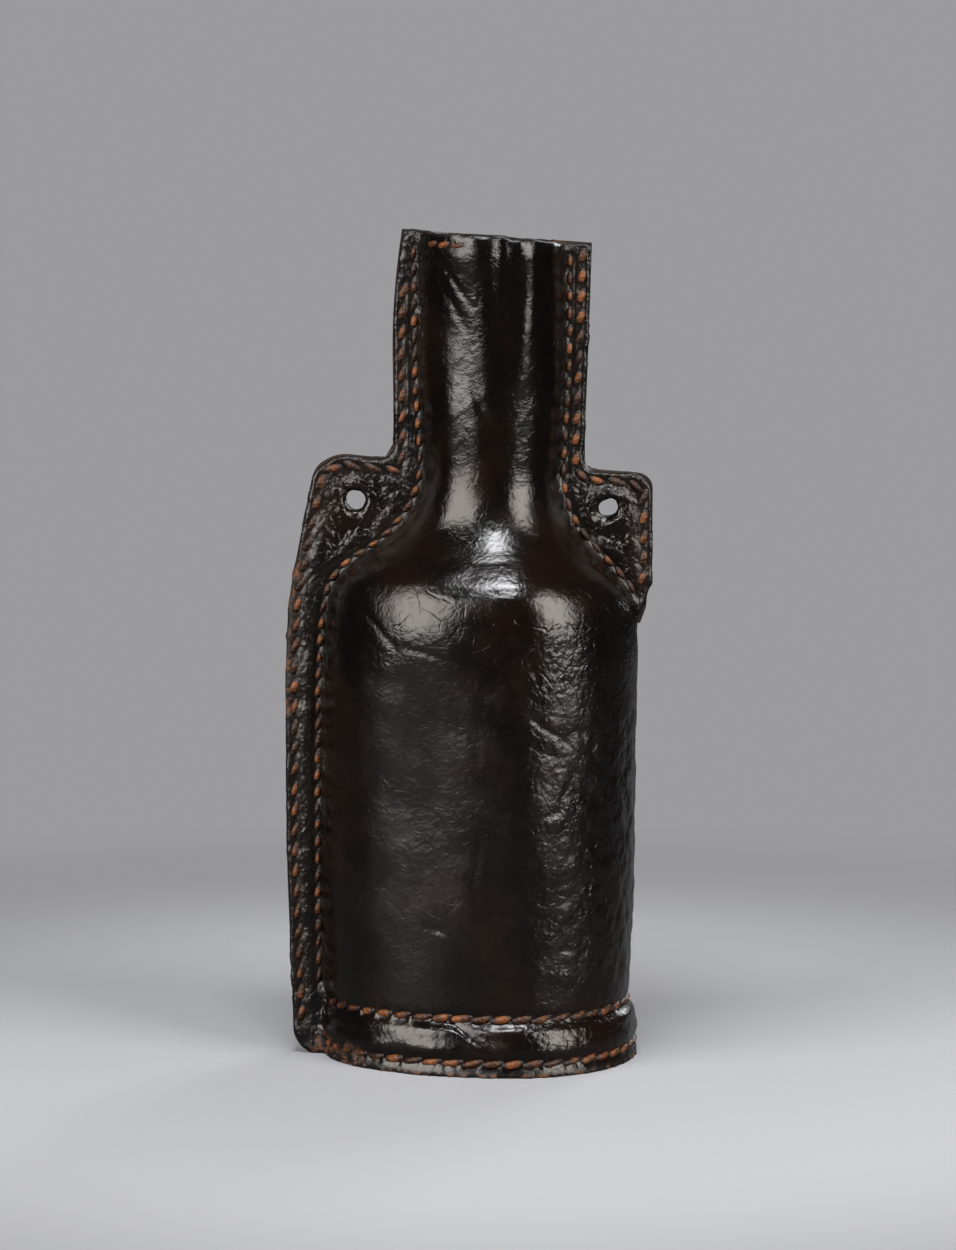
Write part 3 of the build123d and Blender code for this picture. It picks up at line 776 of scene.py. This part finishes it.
def thinned(mesh):
    """Drops most of the mesh inside the bottle and between the leaves, where nothing shows."""
    pitch_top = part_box("pitch_coat")[1].z
    spots, outward = corners(mesh), normals(mesh)
    places = [vert.co for vert in mesh.vertices]
    tree = BVHTree.FromPolygons(places, [face.vertices for face in mesh.polygons])
    hidden = []
    for index, (spot, out) in enumerate(zip(spots, outward)):
        if spot[2] > pitch_top - 1.5 * MM:
            continue
        between = abs(spot[1]) < seam_half - 2.2 * MM and abs(out[1]) > 0.8
        if between or enclosed(tree, Vector(spot + out * 0.4 * MM)):
            hidden.append(index)
    piece = bpy.data.objects.new("thinning", mesh)
    bpy.context.scene.collection.objects.link(piece)
    group = piece.vertex_groups.new(name="hidden")
    group.add(hidden, 1.0, "REPLACE")
    share = len(hidden) / len(spots)
    thin = piece.modifiers.new("thin", "DECIMATE")
    thin.ratio = 1 - share * THINNING_SHARE
    thin.vertex_group = "hidden"
    made = bpy.data.meshes.new_from_object(piece.evaluated_get(bpy.context.evaluated_depsgraph_get()))
    bpy.data.objects.remove(piece)
    bpy.data.meshes.remove(mesh)
    return made


def group_weights(mesh):
    """The weights of the mesh's one vertex group."""
    return np.array([vert.groups[0].weight if len(vert.groups) else 0.0 for vert in mesh.vertices])


# Stitches
class Nodes:
    """A geometry node tree with short ways to add nodes and join their sockets."""

    def __init__(self, name):
        self.tree = bpy.data.node_groups.new(name, "GeometryNodeTree")

    def socket(self, name, kind, way="INPUT"):
        self.tree.interface.new_socket(name, in_out=way, socket_type=kind)

    def add(self, kind, settings=None, sockets=None):
        return add_node(self.tree, kind, settings, sockets)

    def math(self, operation, first, second):
        return self.add("ShaderNodeMath", {"operation": operation}, {0: first, 1: second}).outputs[0]

    def vector(self, x=0.0, y=0.0, z=0.0):
        return self.add("ShaderNodeCombineXYZ", None, {"X": x, "Y": y, "Z": z}).outputs[0]

    def named(self, name, kind):
        return self.add("GeometryNodeInputNamedAttribute", {"data_type": kind}, {"Name": name}).outputs[0]

    def random(self, low, high, seed):
        return self.add("FunctionNodeRandomValue", None, {2: low, 3: high, "Seed": seed}).outputs[1]

    def capture(self, geometry, name, value):
        """Keeps a value on geometry, and returns the two."""
        made = self.add("GeometryNodeCaptureAttribute")
        made.capture_items.new("FLOAT", name)
        fill(self.tree, made, {0: geometry, name: value})
        return made.outputs[0], made.outputs[name]

    def store(self, geometry, name, kind, domain, value):
        made = self.add("GeometryNodeStoreNamedAttribute", {"data_type": kind, "domain": domain},
                        {"Geometry": geometry, "Name": name, "Value": value})
        return made.outputs[0]


def stitch_tree():
    """A tree that lays one arched, tapered stitch of thread on each point, along its run."""
    nodes = Nodes("waxed_stitches")
    nodes.socket("Geometry", "NodeSocketGeometry")
    for name in ("Length", "Width", "Sink", "Slant"):
        nodes.socket(name, "NodeSocketFloat")
    nodes.socket("Seed", "NodeSocketInt")
    nodes.socket("Material", "NodeSocketMaterial")
    nodes.socket("Geometry", "NodeSocketGeometry", "OUTPUT")
    given = nodes.add("NodeGroupInput").outputs
    half = nodes.math("MULTIPLY", given["Length"], 0.5)
    low = nodes.math("MULTIPLY", given["Sink"], -1.0)
    line = nodes.add("GeometryNodeCurveQuadraticBezier", None, {
        "Resolution": 6,
        "Start": nodes.vector(x=nodes.math("MULTIPLY", half, -1.0), z=low),
        "Middle": nodes.vector(z=given["Sink"]),
        "End": nodes.vector(x=half, z=low),
    })
    along = nodes.add("GeometryNodeSplineParameter").outputs["Factor"]
    offset = nodes.math("SUBTRACT", along, 0.5)
    narrowing = nodes.math("MULTIPLY", nodes.math("MULTIPLY", offset, offset), 3.1)
    taper = nodes.math("SUBTRACT", 1.0, narrowing)
    tapered = nodes.add("GeometryNodeSetCurveRadius", None, {"Curve": line.outputs[0], "Radius": taper})
    line, along = nodes.capture(tapered.outputs[0], "Along", along)
    ring = nodes.add("GeometryNodeCurvePrimitiveCircle", {"mode": "RADIUS"}, {
        "Resolution": 8, "Radius": nodes.math("MULTIPLY", given["Width"], 0.5)})
    around = nodes.add("GeometryNodeSplineParameter").outputs["Factor"]
    ring, around = nodes.capture(ring.outputs[0], "Round", around)
    sockets = {"Curve": line, "Profile Curve": ring, "Fill Caps": True}
    bead = nodes.add("GeometryNodeCurveToMesh", None, sockets)
    bead = nodes.store(bead.outputs[0], "lay", "FLOAT_VECTOR", "POINT", nodes.vector(x=along, y=around))

    out = nodes.named("out", "FLOAT_VECTOR")
    turn = nodes.math("SUBTRACT", nodes.random(-0.09, 0.09, given["Seed"]), given["Slant"])
    run = nodes.add("ShaderNodeVectorRotate", {"rotation_type": "AXIS_ANGLE"}, {
        "Vector": nodes.named("run", "FLOAT_VECTOR"), "Axis": out, "Angle": turn}).outputs[0]
    facing = nodes.add("FunctionNodeAxesToRotation", {"primary_axis": "X", "secondary_axis": "Z"}, {
        "Primary Axis": run, "Secondary Axis": out}).outputs[0]
    longer = nodes.math("DIVIDE", nodes.named("length", "FLOAT"), given["Length"])
    seeds = [nodes.math("ADD", given["Seed"], step) for step in (1.0, 2.0, 3.0, 4.0)]
    size = nodes.vector(
        x=nodes.math("MULTIPLY", longer, nodes.random(0.93, 1.04, seeds[0])),
        y=nodes.random(0.78, 1.1, seeds[1]),
        z=nodes.random(0.82, 1.0, seeds[2]),
    )
    laid = nodes.add("GeometryNodeInstanceOnPoints", None, {
        "Points": given["Geometry"], "Instance": bead, "Rotation": facing, "Scale": size}).outputs[0]
    laid = nodes.store(laid, "shade", "FLOAT", "INSTANCE", nodes.random(0.0, 1.0, seeds[3]))
    whole = nodes.add("GeometryNodeRealizeInstances", None, {"Geometry": laid}).outputs[0]
    smooth = nodes.add("GeometryNodeSetShadeSmooth", None, {"Geometry": whole}).outputs[0]
    done = nodes.add("GeometryNodeSetMaterial", None, {"Geometry": smooth, "Material": given["Material"]})
    nodes.add("NodeGroupOutput", None, {0: done.outputs[0]})
    return nodes.tree


def sew(node, settings, slant, width, length_share):
    """Replaces a thread of the frame by stitches of waxed thread in the same places."""
    name = node.replace("thread", "stitches")
    material = bpy.data.materials.get("waxed_thread") or waxed_thread(settings)
    outer, inner = beads_of(node)
    beads = outer + inner
    points = bpy.data.meshes.new(name + "_places")
    lift = settings.height - width / 2
    points.from_pydata([tuple(bead.spot + bead.out * lift) for bead in beads], [], [])
    for key in ("run", "out"):
        layer = points.attributes.new(key, "FLOAT_VECTOR", "POINT")
        layer.data.foreach_set("vector", np.array([getattr(bead, key) for bead in beads]).ravel())
    layer = points.attributes.new("length", "FLOAT", "POINT")
    layer.data.foreach_set("value", np.array([bead.length * length_share for bead in beads]))
    carrier = bpy.data.objects.new(name + "_places", points)
    bpy.context.scene.collection.objects.link(carrier)
    tree = bpy.data.node_groups.get("waxed_stitches") or stitch_tree()
    given = carrier.modifiers.new("stitches", "NODES")
    given.node_group = tree
    values = {"Length": STITCH_LENGTH, "Width": width, "Sink": STITCH_SINK, "Slant": slant,
              "Seed": settings.seed + len(beads), "Material": material}
    for socket in tree.interface.items_tree:
        if socket.in_out == "INPUT" and socket.name in values:
            given[socket.identifier] = values[socket.name]
    made = bpy.data.meshes.new_from_object(carrier.evaluated_get(bpy.context.evaluated_depsgraph_get()))
    bpy.data.objects.remove(carrier)
    bpy.data.meshes.remove(points)
    if len(made.polygons) < len(beads):
        raise RuntimeError(f"{name} has no stitches")
    place_piece(name, made, "thread", node)


def place_piece(name, mesh, slot, *nodes):
    """Adds a finished piece that stands for nodes of the frame."""
    mesh.name = name
    piece = bpy.data.objects.new(name, mesh)
    bpy.context.scene.collection.objects.link(piece)
    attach(piece, BODY)
    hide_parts(*nodes)


def use(node, material):
    """Gives a shown node of the frame its material."""
    shown = frame["nodes"][node]
    shown.data.materials.clear()
    shown.data.materials.append(material)


# Operators
class BOTTLE_OT_hide(bpy.types.Operator):
    """Works the sewn hide: its swells, creases, seams, worn edges and leather"""
    bl_idname = "bottle.hide"
    bl_label = "Work the hide"

    def execute(self, context):
        settings = context.scene.bottle_leather
        threads = FLANGE_THREADS + FOOT_THREADS + (MOUTH_THREAD,)
        hide = Hide(settings, {name: beads_of(name) for name in threads})
        hide.work()
        hide.marks()
        hide.mesh.materials.clear()
        hide.mesh.materials.append(leather(settings))
        hide.mesh.shade_smooth()
        place_piece("sewn_hide", hide.mesh, "hide", "body_hide")
        return {"FINISHED"}


class BOTTLE_OT_flange_stitches(bpy.types.Operator):
    """Sews the two flanges with waxed thread"""
    bl_idname = "bottle.flange_stitches"
    bl_label = "Sew the flanges"

    def execute(self, context):
        settings = context.scene.bottle_thread
        for node in FLANGE_THREADS:
            slant_share, width_share = (1.2, 1.0) if "outer" in node else (0.5, 0.76)
            slant, width = settings.slant * slant_share, settings.width * width_share
            sew(node, settings, slant, width, FLANGE_LENGTH_SHARE)
        return {"FINISHED"}


class BOTTLE_OT_foot_stitches(bpy.types.Operator):
    """Sews the foot band and the front of the mouth"""
    bl_idname = "bottle.foot_stitches"
    bl_label = "Sew the foot and the mouth"

    def execute(self, context):
        settings = context.scene.bottle_thread
        slant_share = -0.7
        for node in FOOT_THREADS + (MOUTH_THREAD,):
            sew(node, settings, settings.slant * slant_share, settings.width, FOOT_LENGTH_SHARE)
        return {"FINISHED"}


class BOTTLE_OT_lining(bpy.types.Operator):
    """Finishes the welts in the seams, the base and the pitch inside"""
    bl_idname = "bottle.lining"
    bl_label = "Finish the welts, base and pitch"

    def execute(self, context):
        settings = context.scene.bottle_leather
        edge = cut_leather(settings)
        for node in LEATHER_NODES:
            use(node, edge)
        use("base_pan", pan_leather(settings))
        use("pitch_coat", pitch(settings))
        return {"FINISHED"}


class BOTTLE_OT_studio(bpy.types.Operator):
    """Sets the floor, the soft boxes and the camera"""
    bl_idname = "bottle.studio"
    bl_label = "Set up the studio"

    def execute(self, context):
        settings = context.scene.bottle_stage
        scene = context.scene
        scene.view_settings.view_transform = "Standard"
        self.floor(scene, settings)
        self.backdrop(scene, settings)
        self.lights(scene, settings)
        self.camera(scene, settings)
        return {"FINISHED"}

    def floor(self, scene, settings):
        mesh = bpy.data.meshes.new("studio_floor")
        disc = bmesh.new()
        bmesh.ops.create_circle(disc, cap_ends=True, segments=96, radius=12.0)
        disc.to_mesh(mesh)
        disc.free()
        mesh.materials.append(floor_paint(settings))
        floor = bpy.data.objects.new("studio_floor", mesh)
        scene.collection.objects.link(floor)

    def backdrop(self, scene, settings):
        """A dim world, which the camera sees in the backdrop's colour."""
        world = bpy.data.worlds.new("studio")
        world.use_nodes = True
        tree = world.node_tree
        dim = tree.nodes["Background"]
        fill(tree, dim, {"Color": (0.9, 0.93, 1.0, 1), "Strength": 0.035})
        ray = add_node(tree, "ShaderNodeLightPath").outputs["Is Camera Ray"]
        seen = add_node(tree, "ShaderNodeBackground", None, {"Color": (*settings.backdrop, 1)}).outputs[0]
        mix = add_node(tree, "ShaderNodeMixShader", None, {0: ray, 1: dim.outputs[0], 2: seen}).outputs[0]
        fill(tree, tree.nodes["World Output"], {"Surface": mix})
        scene.world = world

    def lights(self, scene, settings):
        middle = Vector(((cad_low.x + cad_high.x) / 2, 0, 0.13))
        # Name, azimuth and elevation in degrees, distance, size, strength in watts, colour
        boxes = (
            ("left_box", -47, 21, 1.20, (0.80, 0.88), settings.soft_box, (1, 0.985, 0.97)),
            ("right_box", 50, 23, 1.20, (0.60, 0.95), settings.soft_box * 0.9, (1, 0.985, 0.97)),
            ("top_light", -3, 62, 0.95, (0.31, 0.23), settings.top_box, (0.86, 0.92, 1)),
            ("back_box", 150, 25, 1.4, (0.5, 0.9), settings.soft_box * 0.45, (0.95, 0.97, 1)),
        )
        for name, azimuth, elevation, distance, size, watts, colour in boxes:
            lamp = bpy.data.lights.new(name, "AREA")
            lamp.shape = "RECTANGLE"
            lamp.size, lamp.size_y = size
            lamp.energy = watts
            lamp.color = colour
            light = bpy.data.objects.new(name, lamp)
            scene.collection.objects.link(light)
            turn, lift = math.radians(azimuth), math.radians(elevation)
            flat = math.cos(lift)
            way = Vector((math.sin(turn) * flat, -math.cos(turn) * flat, math.sin(lift)))
            light.visible_camera = False
            light.location = middle + way * distance
            light.rotation_euler = way.to_track_quat("Z", "Y").to_euler()

    def camera(self, scene, settings):
        lens = bpy.data.cameras.new("view")
        lens.sensor_fit = "AUTO"
        lens.angle = settings.view
        lens.clip_start, lens.clip_end = 0.01, 50
        camera = bpy.data.objects.new("view", lens)
        scene.collection.objects.link(camera)
        place = Vector((settings.aim_x, -settings.distance, settings.height))
        aim = Vector((settings.aim_x, 0, settings.aim_z))
        camera.location = place
        camera.rotation_euler = (aim - place).to_track_quat("-Z", "Y").to_euler()
        scene.camera = camera


OPERATORS = (BOTTLE_OT_hide, BOTTLE_OT_flange_stitches, BOTTLE_OT_foot_stitches, BOTTLE_OT_lining,
             BOTTLE_OT_studio)
GROUPS = {"bottle_leather": LeatherSettings, "bottle_thread": ThreadSettings, "bottle_stage": StageSettings}


class BOTTLE_PT_panel(bpy.types.Panel):
    """Lists the bottle's settings and steps"""
    bl_idname = "BOTTLE_PT_panel"
    bl_label = "Leather bottle"
    bl_space_type = "VIEW_3D"
    bl_region_type = "UI"
    bl_category = "Bottle"

    def draw(self, context):
        for key, kind in GROUPS.items():
            box = self.layout.box()
            group = getattr(context.scene, key)
            for name in kind.__annotations__:
                box.prop(group, name)
        for operator in OPERATORS:
            self.layout.operator(operator.bl_idname)


def register():
    for kind in (*GROUPS.values(), *OPERATORS, BOTTLE_PT_panel):
        bpy.utils.register_class(kind)
    for key, kind in GROUPS.items():
        setattr(bpy.types.Scene, key, PointerProperty(type=kind))


def unregister():
    for key in GROUPS:
        delattr(bpy.types.Scene, key)
    for kind in reversed((*GROUPS.values(), *OPERATORS, BOTTLE_PT_panel)):
        bpy.utils.unregister_class(kind)


def main():
    register()
    for operator in OPERATORS:
        group, step = operator.bl_idname.split(".")
        getattr(getattr(bpy.ops, group), step)()


if __name__ == "__main__":
    main()
